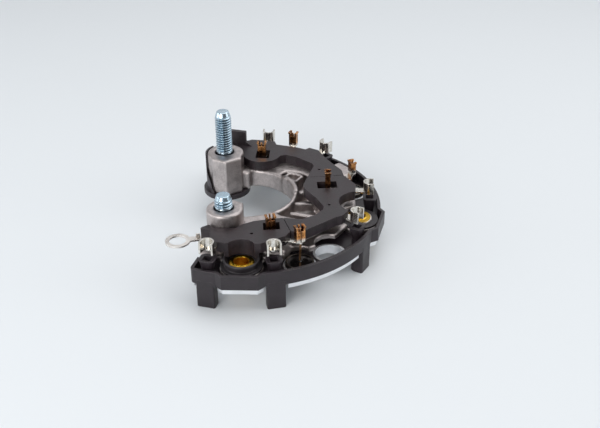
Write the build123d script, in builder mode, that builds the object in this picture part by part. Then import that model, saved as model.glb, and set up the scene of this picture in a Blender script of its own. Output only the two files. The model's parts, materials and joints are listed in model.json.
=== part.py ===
from build123d import *
import os
from math import atan2, cos, degrees, hypot, radians, sin

os.makedirs("parts", exist_ok=True)

# Alternator rectifier, in millimetres. The origin is on the surface that the legs stand on,
# under the centre of the outer circle. +X points into the closed side of the horseshoe, +Z up.

# Plan of the horseshoe: its rings, as distances out from the circle of the mounting points
mount_radius = 53.0
rim_margin = 9.3
pad_margin = 11.1
guide_margin = 4.0
clip_margin = 0.8
diode_margin = -0.4
flange_margin = -2.5
plateau_margin = -9.0
inner_edge_margin = -13.0
end_offset = 7.0
mirror_angle = 15.4

# Heights of the layers, from the legs up
leg_height = 11.8
negative_thickness = 2.8
floor_thickness = 1.6
rim_height = 6.8
spacer_height = 2.4
ear_thickness = 2.5
flange_thickness = 2.6
sink_thickness = 8.8
flange_step = 4.0
cover_thickness = 4.7

# Moulded carrier
rim_wall = 1.4
plate_margin = 1.1
rim_corner_radius = 2.0
pad_half_width = 7.8
pad_shoulder = 2.8
spacer_radius = 9.0
leg_width = 8.2
leg_depth = 6.7
leg_inner_radius = 3.0
leg_outer_radius = 0.8
wire_hole = 2.4
funnel_mouth = 3.6
funnel_drop = 2.7
funnel_foot_height = 15.6
funnel_width = 7.2
funnel_depth = 6.4
funnel_foot = 4.3
funnel_corner_radius = 2.0
near_base_wall = 0.8
far_base_radius = 11.7
arm_width = 12.0
arm_overlap = 4.0
far_arm_angle = 115.0
shroud_wall = 0.9
shroud_height = 18.8
shroud_start = 150
shroud_sweep = 104
shroud_slope = [(-28.6, 25.0), (-22.0, 14.2), (-12.0, 14.2), (-12.0, 36.0), (-28.6, 36.0)]
shroud_slope_span = (6.0, 16.5)

# Mounting points: hollow rivets on one circle
mount_angles = {"near": -76.3, "middle": -0.8, "far": 111.6}
rivet_bore_radius = 3.3
rivet_wall = 0.8
rivet_head_radius = 5.7
rivet_head_thickness = 0.8
rivet_bead_radius = 3.7
rivet_bead_height = 0.4
rivet_bead_rounding = 0.3
rivet_head_chamfer = 0.4
washer_radius = 6.1
washer_thickness = 0.7
bush_flange_radius = 9.1
bush_flange_thickness = 0.9
bush_wall = 1.0
bush_collar_radius = 7.4
bush_collar_height = 3.0
ear_radius = 9.3

# Stator wire guides and clips
guide_angles = (-90.5, -62.1, -15.0, 13.4, 64.5, 98.0)
far_leg_angle = 122.4
leg_gap = 1.2
sheet = 0.8
strip_width = 4.0
branch_width = 3.0
strip_rise = 1.6
clip_width = 6.3
clip_depth = 4.9
clip_height = 5.6

# Diodes
diode_radius = 6.4
diode_height = 7.8
cup_wall = 0.9
cup_base = 1.8
resin_depth = 0.7
lead_radius = 0.65
lead_foot_radius = 1.6
lead_foot_thickness = 0.5
diode_collar_wall = 1.0
diode_recess = 0.4
negative_diode_drop = 1.5
crimp_width = 4.1
crimp_wall = 0.45
crimp_slot = 0.4
crimp_flare = 0.3
flare_height = 0.8
prong_gap = 0.9
prong_height = 2.2
prong_spacing = 1.6
empty_bore_angle = -30.5
flange_cutout_radius = 6.62

# Die-cast heat sink
plateau_pad = 2.4
ring_centre = (-2.5, 0.5)
ring_inner_radius = 22.7
ring_wall = 2.0
ring_lip_height = 1.1
lip_overhang = 0.5
lip_start = 14
lip_sweep = 38
far_flange_start = 44
far_flange_sweep = 14
pocket_floor = 2.2
fin_height = 7.2
far_boss_centre = (-19.4, 20.2)
far_boss_radius = 9.0
far_boss_corner = [(-27.0, 16.6), (-22.9, 10.6), (-15.5, 9.1), (-9.5, 15.6), (-11.4, 21.5)]
ring_pad = [(-14.0, 18.8), (-6.8, 18.8), (-6.8, 23.6), (-14.0, 23.6)]
ring_pad_height = 0.5
near_boss_centre = (-0.9, -33.0)
near_boss_radius = 8.2
near_boss_corner = [(6.6, -31.2), (5.6, -26.3), (0.6, -25.4)]
boss_height = 19.0
boss_edge_radius = 0.8

# Studs
stud_radius = 4.0
stud_shank_radius = 3.6
stud_tip_radius = 2.9
stud_tip_length = 3.2
stud_tip_rounding = 0.5
thread_start = 0.3
stud_head_radius = 6.5
stud_head_thickness = 3.4
knurl_length = 9.0
long_stud_axis = (-20.0, 20.5)
long_stud_reach = 21.6
long_stud_hole = 4.8
short_stud_axis = (-1.5, -32.6)
short_stud_reach = 6.2
short_stud_hole = 4.4

# Terminal plates
block_plan = [(-7.4, -11.0), (-1.8, -11.0), (-1.8, -7.0), (-5.1, -7.0), (-7.4, -9.8)]
block_drop = 2.6
skirt_drop = 2.4
skirt_wall = 1.6
cover_lobe_radius = 9.5
pin_hole_radius = 0.75
tower_centre = (-19.9, 41.3)
tower_width = 8.4
tower_depth = 2.2
tower_height = 12.3
tower_foot = 3.6
tower_foot_rise = 2.2

# Ring terminal
ring_terminal_centre = (-17.4, -48.6)
ring_terminal_radius = 5.45
ring_terminal_hole = 3.75
ring_terminal_neck = 3.2
ring_terminal_end = (-5.5, -42.2)
lug_tab = (1.8, 0.7, 1.6)
lug_tab_place = (-9.9, -43.7)

# Clearances
seat_gap = 0.05
slip_gap = 0.15
air_gap = 0.4
seam_gap = 0.3

# Rings worked out from the circle of the mounting points
outer_radius = mount_radius + rim_margin
pad_reach = mount_radius + pad_margin
guide_radius = mount_radius + guide_margin
clip_back_radius = mount_radius + clip_margin
negative_diode_radius = mount_radius + diode_margin
flange_radius = mount_radius + flange_margin
plateau_radius = mount_radius + plateau_margin
inner_edge_radius = mount_radius + inner_edge_margin

# Levels worked out from the layers
negative_bottom = leg_height - negative_thickness
floor_top = leg_height + floor_thickness
sink_bottom = leg_height + spacer_height
ear_top = sink_bottom + ear_thickness
sink_top = sink_bottom + sink_thickness
flange_top = sink_top - flange_step
flange_bottom = flange_top - flange_thickness
cover_bottom = sink_top
cover_top = cover_bottom + cover_thickness
strip_bottom = cover_bottom + strip_rise
strip_top = strip_bottom + sheet
funnel_height = strip_bottom - funnel_drop
boss_top = sink_bottom + boss_height
rivet_radius = rivet_bore_radius + rivet_wall
rivet_hole_radius = rivet_radius + slip_gap
bush_radius = rivet_hole_radius + bush_wall
ring_outer_radius = ring_inner_radius + ring_wall
crimp_depth = 2 * (lead_radius + slip_gap + crimp_wall)
rivet_length = washer_thickness + bush_flange_thickness + ear_top - negative_bottom


def polar(radius, angle):
    """Point at a radius and an angle in degrees about the origin."""
    return (radius * cos(radians(angle)), radius * sin(radians(angle)))


def spot(out, angle):
    """Point at a distance out from the circle of the mounting points, at an angle in degrees."""
    return polar(mount_radius + out, angle)


def mirrored(point):
    """Image of a point in the line through the origin at mirror_angle."""
    angle = degrees(atan2(point[1], point[0]))
    return polar(hypot(*point), 2 * mirror_angle - angle)


def at(angle):
    """Placement turned by an angle, so that its x axis points outwards."""
    return Locations(Location((0, 0, 0), (0, 0, angle)))


def mouth():
    """Open side of the horseshoe, between its two square ends."""
    near_edge = [(-end_offset, -2 * outer_radius), (-end_offset, -end_offset)]
    far_edge = [mirrored(point) for point in reversed(near_edge)]
    far_left = [(-3 * outer_radius, outer_radius), (-3 * outer_radius, -outer_radius)]
    Polygon(*near_edge, *far_edge, *far_left, align=None, mode=Mode.SUBTRACT)


def sector(centre, inner, outer, start, sweep):
    """Part of a ring about a centre, from a start angle through a sweep."""
    with BuildLine() as edge:
        inside = CenterArc(centre, inner, start, sweep)
        outside = CenterArc(centre, outer, start, sweep)
        Line(inside @ 0, outside @ 0)
        Line(inside @ 1, outside @ 1)
    make_face(edge.edges())


def band(points, width):
    """Strip of one width along a chain of points, with round ends."""
    for start, end in zip(points, points[1:]):
        middle = ((start[0] + end[0]) / 2, (start[1] + end[1]) / 2)
        along = (end[0] - start[0], end[1] - start[1])
        turn = degrees(atan2(along[1], along[0]))
        with Locations(Location((middle[0], middle[1], 0), (0, 0, turn))):
            SlotCenterToCenter(hypot(*along), width)


# Diodes: the name of each, where it stands and how tall its crimp is
positive_diodes = {
    "near": (spot(-12.9, -59.3), 33.2),
    "middle": (spot(-16.1, 15.7), 34.6),
    "far": (spot(-19.2, 97.7), 34.4),
}
negative_diodes = {
    "near": (polar(negative_diode_radius, -48.3), 33.0),
    "middle": (polar(negative_diode_radius, 34.9), 31.2),
    "far": (polar(negative_diode_radius, 82.4), 33.0),
}
positive_bores = [place for place, top in positive_diodes.values()]
positive_diode_bottom = sink_top - diode_recess - diode_height
negative_diode_bottom = negative_bottom - negative_diode_drop
negative_bores = [place for place, top in negative_diodes.values()]
negative_bores.append(polar(negative_diode_radius, empty_bore_angle))

# Phase conductors: the chains of points that each stamped strip follows
strip_paths = {
    "near": [
        [polar(clip_back_radius, -90.5), spot(-6.9, -86.3), spot(-9.8, -76.6), spot(-6.4, -59.0)],
        [spot(-6.4, -59.0), polar(clip_back_radius, -62.1)],
    ],
    "middle": [
        [polar(clip_back_radius, -15.0), spot(-8.0, -15.2), spot(-12.3, -4.2), spot(-9.9, 15.1)],
        [spot(-9.9, 15.1), polar(clip_back_radius, 13.4)],
    ],
    "far": [
        [polar(clip_back_radius, 64.5), spot(-6.9, 65.7), spot(-11.8, 80.2), spot(-11.3, 94.1)],
        [spot(-11.3, 94.1), polar(clip_back_radius, 98.0)],
    ],
}
branch_paths = {
    "near": [
        [spot(-6.4, -59.0), negative_diodes["near"][0]],
        [spot(-7.3, -61.9), positive_diodes["near"][0]],
    ],
    "middle": [
        [spot(-9.9, 15.1), spot(-4.8, 27.1), negative_diodes["middle"][0]],
        [spot(-9.9, 15.1), positive_diodes["middle"][0]],
    ],
    "far": [
        [spot(-11.8, 80.2), negative_diodes["far"][0]],
        [spot(-11.3, 94.1), positive_diodes["far"][0]],
    ],
}
clip_angles = {"near": (-90.5, -62.1), "middle": (-15.0, 13.4), "far": (64.5, 98.0)}


# Block at the end of the near terminal plate, which holds the ring terminal
with BuildSketch() as block_outline:
    with Locations(near_boss_centre):
        Polygon(*block_plan, align=None)
        Circle(near_boss_radius + air_gap, mode=Mode.SUBTRACT)

# Section of the far stud boss, a round with a three-cornered front
with BuildSketch() as far_boss_section:
    with Locations(far_boss_centre):
        Circle(far_boss_radius)
    Polygon(*far_boss_corner, align=None)

# Moulded carrier: floor, rim with pads at the mounting points, wire guides on legs
with BuildSketch() as carrier_outline:
    Circle(outer_radius)
    for angle in mount_angles.values():
        with at(angle):
            Polygon(
                (mount_radius, -pad_half_width - pad_shoulder),
                (pad_reach - pad_shoulder, -pad_half_width - pad_shoulder),
                (pad_reach, -pad_half_width),
                (pad_reach, pad_half_width),
                (pad_reach - pad_shoulder, pad_half_width + pad_shoulder),
                (mount_radius, pad_half_width + pad_shoulder),
                align=None,
            )
    mouth()
    near_corner = (-end_offset, -outer_radius)
    for corner in (near_corner, mirrored(near_corner)):
        fillet(carrier_outline.vertices().sort_by_distance(corner)[0], radius=rim_corner_radius)

with BuildSketch() as leg_section:
    with Locations((outer_radius - leg_depth / 2, 0)):
        Rectangle(leg_depth, leg_width)
    fillet(leg_section.vertices().group_by(Axis.X)[0], radius=leg_inner_radius)
    fillet(leg_section.vertices().group_by(Axis.X)[-1], radius=leg_outer_radius)
with BuildSketch() as leg_notch:
    offset(leg_section.sketch, amount=leg_gap)

with BuildPart() as funnel:
    with BuildSketch(Plane.XY.offset(funnel_foot_height)):
        with Locations((guide_radius, 0)):
            RectangleRounded(funnel_foot, funnel_foot, funnel_corner_radius)
    with BuildSketch(Plane.XY.offset(funnel_height)):
        with Locations((guide_radius, 0)):
            RectangleRounded(funnel_depth, funnel_width, funnel_corner_radius)
    loft()
    with BuildSketch(Plane.XY.offset(leg_height)):
        with Locations((guide_radius, 0)):
            RectangleRounded(funnel_foot, funnel_foot, funnel_corner_radius)
    extrude(amount=funnel_foot_height - leg_height)

with BuildPart() as wire_channel:
    with BuildSketch():
        with Locations((guide_radius, 0)):
            Rectangle(wire_hole, wire_hole)
    extrude(amount=funnel_height)
    with BuildSketch(Plane.XY.offset(funnel_foot_height)):
        with Locations((guide_radius, 0)):
            Rectangle(wire_hole, wire_hole)
    with BuildSketch(Plane.XY.offset(funnel_height)):
        with Locations((guide_radius, 0)):
            Rectangle(funnel_mouth, funnel_mouth)
    loft()

# Thin sheet of the carrier that follows the left of the far boss, with a sloping front edge
with BuildPart() as shroud:
    with BuildSketch(Plane.XY.offset(leg_height)):
        offset(far_boss_section.sketch, amount=slip_gap + shroud_wall)
        offset(far_boss_section.sketch, amount=slip_gap, mode=Mode.SUBTRACT)
        with BuildSketch(mode=Mode.INTERSECT):
            sector(far_boss_centre, far_boss_radius / 2, 2 * far_base_radius, shroud_start, shroud_sweep)
    extrude(amount=spacer_height + shroud_height)
    with BuildSketch(Plane.XZ.offset(-shroud_slope_span[0])):
        Polygon(*shroud_slope, align=None)
    extrude(amount=shroud_slope_span[0] - shroud_slope_span[1], mode=Mode.SUBTRACT)

with BuildPart() as carrier:
    with BuildSketch(Plane.XY.offset(leg_height)):
        add(carrier_outline.sketch)
        Circle(inner_edge_radius, mode=Mode.SUBTRACT)
        arm_reach = inner_edge_radius + arm_overlap
        band([near_boss_centre, (near_boss_centre[0], -arm_reach)], arm_width)
        band([far_boss_centre, polar(arm_reach, far_arm_angle)], arm_width)
    extrude(amount=floor_thickness)
    with BuildSketch(Plane.XY.offset(leg_height)):
        add(carrier_outline.sketch)
        offset(carrier_outline.sketch, amount=-rim_wall, mode=Mode.SUBTRACT)
        Circle(mount_radius, mode=Mode.SUBTRACT)
    extrude(amount=rim_height)
    with BuildSketch(Plane.XY.offset(leg_height)):
        for angle in mount_angles.values():
            with Locations(polar(mount_radius, angle)):
                Circle(spacer_radius)
        with Locations(far_boss_centre):
            Circle(far_base_radius)
        with Locations(near_boss_centre):
            Circle(near_boss_radius + near_base_wall)
    extrude(amount=spacer_height)
    with BuildSketch():
        for angle in (*guide_angles, far_leg_angle):
            with at(angle):
                add(leg_section.sketch)
    extrude(amount=floor_top)
    for angle in guide_angles:
        with at(angle):
            add(funnel.part)
            add(wire_channel.part, mode=Mode.SUBTRACT)
    with BuildSketch(Plane.XY.offset(leg_height)):
        for angle in mount_angles.values():
            with Locations(polar(mount_radius, angle)):
                Circle(rivet_hole_radius)
        for place in negative_bores:
            with Locations(place):
                Circle(diode_radius + diode_collar_wall + slip_gap)
        with Locations(long_stud_axis, short_stud_axis):
            Circle(stud_head_radius + slip_gap)
    extrude(amount=spacer_height, mode=Mode.SUBTRACT)
    add(shroud.part)
carrier.part.label = "carrier"

# Negative heat sink: stamped plate with a drawn collar round each diode bore
with BuildPart() as negative_heat_sink:
    with BuildSketch(Plane.XY.offset(negative_bottom)):
        offset(carrier_outline.sketch, amount=-plate_margin)
        Circle(inner_edge_radius, mode=Mode.SUBTRACT)
        for angle in (*guide_angles, far_leg_angle):
            with at(angle):
                add(leg_notch.sketch, mode=Mode.SUBTRACT)
    extrude(amount=negative_thickness)
    with BuildSketch(Plane.XY.offset(negative_bottom)):
        with Locations(*negative_bores):
            Circle(diode_radius + diode_collar_wall)
    extrude(amount=negative_thickness + floor_thickness)
    with BuildSketch(Plane.XY.offset(negative_bottom)):
        with Locations(*negative_bores):
            Circle(diode_radius)
        for angle in mount_angles.values():
            with Locations(polar(mount_radius, angle)):
                Circle(rivet_hole_radius)
    extrude(amount=negative_thickness + floor_thickness, mode=Mode.SUBTRACT)
negative_heat_sink.part.label = "negative_heat_sink"

# Positive heat sink: die-cast, with an inner wall, a raised plateau, fins and two stud bosses
fins = [
    ((19.6, 8.2), (26.0, 13.4), 3.6),
    ((22.8, -0.8), (30.0, 1.6), 2.2),
    ((23.2, -9.9), (39.0, -10.4), 2.2),
    ((20.6, -14.6), (39.0, -16.6), 1.8),
]
rib_frame = [(10.2, 18.8), (11.9, 25.8), (15.6, 25.9), (20.3, 23.5), (17.9, 13.6)]
rib_width = 1.6
rib_height = 0.6
rib_pocket_depth = 3.6
pocket = [
    (10.0, 26.6), (17.0, 27.4), (23.4, 24.4), (27.0, 27.0), (29.0, 12.0), (30.0, 3.0),
    (41.0, -8.0), (42.0, -15.0), (38.0, -19.0), (19.0, -15.8), (0.0, 0.0),
]

with BuildPart() as positive_heat_sink:
    with BuildSketch(Plane.XY.offset(flange_bottom)):
        Circle(flange_radius)
        far_reach = outer_radius - rim_wall - air_gap
        sector((0, 0), ring_outer_radius, far_reach, far_flange_start, far_flange_sweep)
        mouth()
        with Locations(ring_centre):
            Circle(ring_inner_radius, mode=Mode.SUBTRACT)
    extrude(amount=flange_thickness)
    with BuildSketch(Plane.XY.offset(sink_bottom)):
        Circle(plateau_radius)
        with Locations(*positive_bores):
            Circle(diode_radius + plateau_pad)
        mouth()
        with Locations(ring_centre):
            Circle(ring_inner_radius, mode=Mode.SUBTRACT)
    extrude(amount=sink_thickness)
    with BuildSketch(Plane.XY.offset(sink_bottom + pocket_floor)):
        Polygon(*pocket, align=None)
        with Locations(ring_centre):
            Circle(ring_outer_radius, mode=Mode.SUBTRACT)
        with Locations(*positive_bores):
            Circle(diode_radius + plateau_pad, mode=Mode.SUBTRACT)
    extrude(amount=sink_thickness, mode=Mode.SUBTRACT)
    with BuildSketch(Plane.XY.offset(sink_bottom)):
        for start, end, width in fins:
            band([start, end], width)
    extrude(amount=fin_height)
    with BuildSketch(Plane.XY.offset(sink_bottom)) as frame_outline:
        Polygon(*rib_frame, align=None)
    extrude(amount=sink_thickness + rib_height)
    with BuildSketch(Plane.XY.offset(sink_top + rib_height)):
        offset(frame_outline.sketch, amount=-rib_width)
    extrude(amount=-rib_pocket_depth, mode=Mode.SUBTRACT)
    with BuildSketch(Plane.XY.offset(sink_bottom)):
        sector(ring_centre, ring_inner_radius, ring_outer_radius + lip_overhang, lip_start, lip_sweep)
    extrude(amount=sink_thickness + ring_lip_height)
    with BuildSketch(Plane.XY.offset(sink_bottom)):
        with Locations(*[polar(mount_radius, angle) for angle in mount_angles.values()]):
            Circle(ear_radius)
    extrude(amount=ear_thickness)
    with BuildSketch(Plane.XY.offset(ear_top)):
        with Locations(*[polar(mount_radius, angle) for angle in mount_angles.values()]):
            Circle(ear_radius + slip_gap)
    extrude(amount=sink_thickness, mode=Mode.SUBTRACT)
    with BuildSketch(Plane.XY.offset(flange_top)):
        offset(block_outline.sketch, amount=air_gap)
    extrude(amount=sink_thickness, mode=Mode.SUBTRACT)
    with BuildSketch(Plane.XY.offset(sink_bottom)):
        add(far_boss_section.sketch)
        with Locations(near_boss_centre):
            Circle(near_boss_radius)
        Polygon(near_boss_centre, *near_boss_corner, align=None)
    extrude(amount=boss_height)
    with BuildSketch(Plane.XY.offset(sink_bottom)):
        Polygon(*ring_pad, align=None)
    extrude(amount=sink_thickness + ring_pad_height)
    fillet(faces().group_by(Axis.Z)[-1].edges(), radius=boss_edge_radius)
    with BuildSketch(Plane.XY.offset(sink_bottom)):
        with Locations(long_stud_axis):
            Circle(long_stud_hole)
        with Locations(short_stud_axis):
            Circle(short_stud_hole)
        with Locations(*positive_bores):
            Circle(diode_radius)
        with Locations(*negative_bores):
            Circle(flange_cutout_radius)
        with Locations(*[polar(mount_radius, angle) for angle in mount_angles.values()]):
            Circle(bush_radius + slip_gap)
    extrude(amount=boss_height, mode=Mode.SUBTRACT)
positive_heat_sink.part.label = "positive_heat_sink"


# Terminal plates: one moulded cover for each phase, with a pocket for its conductor
seams = [[spot(-17.9, -47.5), spot(-6.2, -50.3)], [spot(-24.8, 30.2), spot(-7.0, 26.9)]]
cover_outlines = {
    "near": [
        spot(-8.8, -95.2), spot(-2.4, -91.8), spot(-0.3, -87.5), spot(-0.4, -84.1), spot(0.1, -67.3),
        spot(-2.6, -58.6), spot(-3.3, -54.4), seams[0][1], seams[0][0], spot(-18.8, -69.4),
        spot(-16.1, -77.5), spot(-12.6, -81.5), spot(-12.8, -95.7),
    ],
    "middle": [
        seams[0][1], spot(-3.6, -44.8), spot(-2.9, -22.5), spot(-1.4, -19.5), spot(-1.2, -14.2),
        spot(-3.0, 7.1), spot(-2.7, 15.0), seams[1][1], seams[1][0], spot(-27.7, 15.1),
        spot(-26.8, 6.1), spot(-19.6, -7.2), spot(-12.9, -15.8), spot(-11.3, -19.9), spot(-11.4, -23.8),
        spot(-11.1, -28.2), spot(-12.3, -38.2), seams[0][0],
    ],
    "far": [
        seams[1][1], spot(-6.3, 33.7), spot(-7.2, 45.6), spot(-6.5, 53.4), spot(-2.9, 63.7),
        spot(-3.5, 69.7), spot(-6.2, 70.5), spot(-6.6, 77.9), spot(-7.2, 90.6), spot(-3.7, 92.9),
        spot(-3.1, 100.6), spot(-1.3, 113.5), spot(-2.6, 119.1), spot(-7.8, 122.8), spot(-17.3, 122.9),
        spot(-22.8, 114.0), spot(-19.2, 97.7), spot(-19.2, 81.8), spot(-16.8, 77.9), spot(-16.1, 68.9),
        spot(-15.8, 51.8), spot(-16.8, 47.4), seams[1][0],
    ],
}
cover_recesses = {
    "near": [(spot(2.6, -76.2), 6.5), (near_boss_centre, near_boss_radius + air_gap)],
    "middle": [(spot(0.9, -2.8), 9.8)],
    "far": [(spot(2.9, 111.4), 6.7), (far_boss_centre, far_boss_radius + air_gap)],
}
windows = {
    "near": (spot(-13.1, -58.6), (7.3, 6.1), 20),
    "middle": (spot(-16.4, 14.4), (9.4, 6.7), 18),
    "far": (spot(-19.8, 96.9), (6.8, 9.2), 12),
}
pin_holes = {"near": spot(-8.5, -71.2), "middle": spot(-11.2, -12.8), "far": spot(-16.3, 40.4)}

for name, outline in cover_outlines.items():
    with BuildPart() as cover:
        with BuildSketch(Plane.XY.offset(cover_bottom)):
            Polygon(*outline, align=None)
            if name == "near":
                add(block_outline.sketch)
            if name == "far":
                with Locations(positive_diodes[name][0]):
                    Circle(cover_lobe_radius)
            for place, radius in cover_recesses[name]:
                with Locations(place):
                    Circle(radius, mode=Mode.SUBTRACT)
            for start, end in seams:
                turn = degrees(atan2(end[1] - start[1], end[0] - start[0]))
                with Locations(Location((start[0], start[1], 0), (0, 0, turn))):
                    Rectangle(outer_radius, seam_gap, mode=Mode.SUBTRACT)
            place, size, turn = windows[name]
            with Locations(Location((place[0], place[1], 0), (0, 0, turn))):
                Rectangle(*size, mode=Mode.SUBTRACT)
            with Locations(pin_holes[name]):
                Circle(pin_hole_radius, mode=Mode.SUBTRACT)
        extrude(amount=cover_thickness)
        if name == "near":
            with BuildSketch(Plane.XY.offset(cover_bottom)):
                add(block_outline.sketch)
            extrude(amount=-block_drop)
            with BuildSketch(Plane.XY.offset(cover_bottom)):
                Polygon(*outline, align=None)
                place, radius = cover_recesses[name][0]
                with BuildSketch(mode=Mode.INTERSECT):
                    with Locations(place):
                        Circle(radius + skirt_wall)
                        Circle(radius, mode=Mode.SUBTRACT)
            extrude(amount=-skirt_drop)
        if name == "far":
            with BuildSketch(Plane.XY.offset(cover_bottom)):
                with Locations(tower_centre):
                    Rectangle(tower_width, tower_depth)
            extrude(amount=tower_height)
            with BuildSketch(Plane.XZ.offset(-tower_centre[1])):
                foot = tower_centre[0] + tower_width / 2
                Polygon(
                    (foot, cover_bottom),
                    (foot + tower_foot, cover_top),
                    (foot, cover_top + tower_foot_rise),
                    align=None,
                )
            extrude(amount=tower_depth / 2, both=True)
        with BuildSketch(Plane.XY.offset(strip_bottom - seat_gap)):
            for path in strip_paths[name]:
                band(path, strip_width + 2 * seat_gap)
            for path in branch_paths[name]:
                band(path, branch_width + 2 * seat_gap)
        extrude(amount=sheet + 2 * seat_gap, mode=Mode.SUBTRACT)
        if name == "near":
            with BuildSketch(Plane.XY.offset(cover_bottom - sheet - seat_gap)):
                band([ring_terminal_centre, ring_terminal_end], ring_terminal_neck + 2 * seat_gap)
            extrude(amount=sheet + 2 * seat_gap, mode=Mode.SUBTRACT)
    cover.part.label = f"terminal_plate_{name}"
    export_step(cover.part, f"parts/terminal_plate_{name}.step")


# Phase conductors: stamped strip with two stator clips and two diode crimps
with BuildSketch() as clip_section:
    with BuildLine():
        bend = (clip_width - sheet) / 2
        front = clip_back_radius + clip_depth
        back = clip_back_radius + sheet / 2
        Line((front, bend), (back + bend, bend))
        ThreePointArc((back + bend, bend), (back, 0), (back + bend, -bend))
        Line((back + bend, -bend), (front, -bend))
    trace(line_width=sheet)

inner_depth = crimp_depth - 2 * crimp_wall
inner_width = crimp_width - 2 * crimp_wall
for name, paths in strip_paths.items():
    with BuildPart() as conductor:
        with BuildSketch(Plane.XY.offset(strip_bottom)):
            for path in paths:
                band(path, strip_width)
            for path in branch_paths[name]:
                band(path, branch_width)
        extrude(amount=sheet)
        with BuildSketch(Plane.XY.offset(strip_bottom)):
            for angle in clip_angles[name]:
                with at(angle):
                    add(clip_section.sketch)
        extrude(amount=clip_height)
        for place, top in (positive_diodes[name], negative_diodes[name]):
            turn = degrees(atan2(place[1], place[0]))
            with BuildSketch(Plane.XY.offset(strip_top)):
                with Locations(Location((place[0], place[1], 0), (0, 0, turn))):
                    Rectangle(crimp_depth, crimp_width)
                    Rectangle(inner_depth, inner_width, mode=Mode.SUBTRACT)
                    Rectangle(
                        crimp_depth,
                        crimp_slot,
                        align=(Align.MIN, Align.CENTER),
                        mode=Mode.SUBTRACT,
                    )
            extrude(amount=top - strip_top)
            with BuildSketch(Plane.XY.offset(top)):
                with Locations(Location((place[0], place[1], 0), (0, 0, turn))):
                    Rectangle(crimp_depth + 2 * crimp_flare, crimp_width + 2 * crimp_flare)
                    Rectangle(inner_depth + crimp_flare, inner_width + crimp_flare, mode=Mode.SUBTRACT)
            extrude(amount=-flare_height)
            with BuildSketch(Plane.XY.offset(top - prong_height)):
                with Locations(Location((place[0], place[1], 0), (0, 0, turn))):
                    with GridLocations(1, prong_spacing, 1, 2):
                        Rectangle(2 * crimp_depth, prong_gap)
                    Rectangle(
                        2 * crimp_depth,
                        prong_spacing,
                        align=(Align.MIN, Align.CENTER),
                    )
            extrude(amount=prong_height, mode=Mode.SUBTRACT)
            with BuildSketch(Plane.XY.offset(strip_bottom)):
                with Locations(place):
                    Circle(lead_radius + seat_gap)
            extrude(amount=sheet, mode=Mode.SUBTRACT)
    conductor.part.label = f"phase_conductor_{name}"
    export_step(conductor.part, f"parts/phase_conductor_{name}.step")


# Diodes: pressed-in cup, sealing resin and lead wire, all turned forms
cup_radius = diode_radius - seat_gap
with BuildPart() as cup_form:
    Cylinder(cup_radius, diode_height, align=(Align.CENTER, Align.CENTER, Align.MIN))
    with BuildSketch(Plane.XY.offset(cup_base)):
        Circle(cup_radius - cup_wall)
    extrude(amount=diode_height, mode=Mode.SUBTRACT)

with BuildPart() as resin_form:
    with BuildSketch(Plane.XY.offset(cup_base)):
        Circle(cup_radius - cup_wall)
    extrude(amount=diode_height - cup_base - resin_depth)
    with BuildSketch(Plane.XY.offset(cup_base)):
        Circle(lead_foot_radius)
    extrude(amount=lead_foot_thickness, mode=Mode.SUBTRACT)
    with BuildSketch(Plane.XY.offset(cup_base)):
        Circle(lead_radius)
    extrude(amount=diode_height, mode=Mode.SUBTRACT)

for polarity, bottom, diodes in (
    ("positive", positive_diode_bottom, positive_diodes),
    ("negative", negative_diode_bottom, negative_diodes),
):
    for name, (place, top) in diodes.items():
        with BuildPart() as cup:
            with Locations((place[0], place[1], bottom)):
                add(cup_form.part)
        cup.part.label = f"{polarity}_diode_{name}_cup"
        with BuildPart() as resin:
            with Locations((place[0], place[1], bottom)):
                add(resin_form.part)
        resin.part.label = f"{polarity}_diode_{name}_resin"
        with BuildPart() as lead:
            with BuildSketch(Plane.XY.offset(bottom + cup_base)):
                with Locations(place):
                    Circle(lead_foot_radius)
            extrude(amount=lead_foot_thickness)
            with BuildSketch(Plane.XY.offset(bottom + cup_base)):
                with Locations(place):
                    Circle(lead_radius)
            extrude(amount=top - prong_height / 2 - bottom - cup_base)
        lead.part.label = f"{polarity}_diode_{name}_lead"
        for piece in (cup, resin, lead):
            export_step(piece.part, f"parts/{piece.part.label}.step")


# Mounting stack at each fixing point: insulating bush, washer and hollow rivet
bush_flange_top = ear_top + bush_flange_thickness
washer_top = bush_flange_top + washer_thickness
rivet_top = washer_top + rivet_head_thickness
with BuildPart() as bush_form:
    with BuildSketch(Plane.XY.offset(sink_bottom)):
        Circle(bush_radius)
    extrude(amount=ear_thickness)
    with BuildSketch(Plane.XY.offset(ear_top)):
        Circle(bush_flange_radius)
    extrude(amount=bush_flange_thickness)
    with BuildSketch(Plane.XY.offset(sink_bottom)):
        Circle(rivet_hole_radius)
    extrude(amount=sink_thickness, mode=Mode.SUBTRACT)

with BuildPart() as washer_form:
    with BuildSketch(Plane.XY.offset(bush_flange_top)):
        Circle(washer_radius)
        Circle(rivet_hole_radius, mode=Mode.SUBTRACT)
    extrude(amount=washer_thickness)

with BuildPart() as rivet_form:
    with BuildSketch(Plane.XY.offset(negative_bottom - rivet_head_thickness)):
        Circle(rivet_head_radius)
    extrude(amount=rivet_head_thickness)
    with BuildSketch(Plane.XY.offset(negative_bottom)):
        Circle(rivet_radius)
    extrude(amount=washer_top - negative_bottom)
    with BuildSketch(Plane.XY.offset(washer_top)):
        Circle(rivet_head_radius)
    extrude(amount=rivet_head_thickness)
    chamfer(edges().group_by(Axis.Z)[-1], length=rivet_head_chamfer)
    with BuildSketch(Plane.XY.offset(rivet_top)):
        Circle(rivet_bead_radius)
    extrude(amount=rivet_bead_height)
    fillet(edges().group_by(Axis.Z)[-1], radius=rivet_bead_rounding)
    with BuildSketch(Plane.XY.offset(negative_bottom - rivet_head_thickness)):
        Circle(rivet_bore_radius)
    extrude(amount=rivet_length + 3 * rivet_head_thickness, mode=Mode.SUBTRACT)

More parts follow.
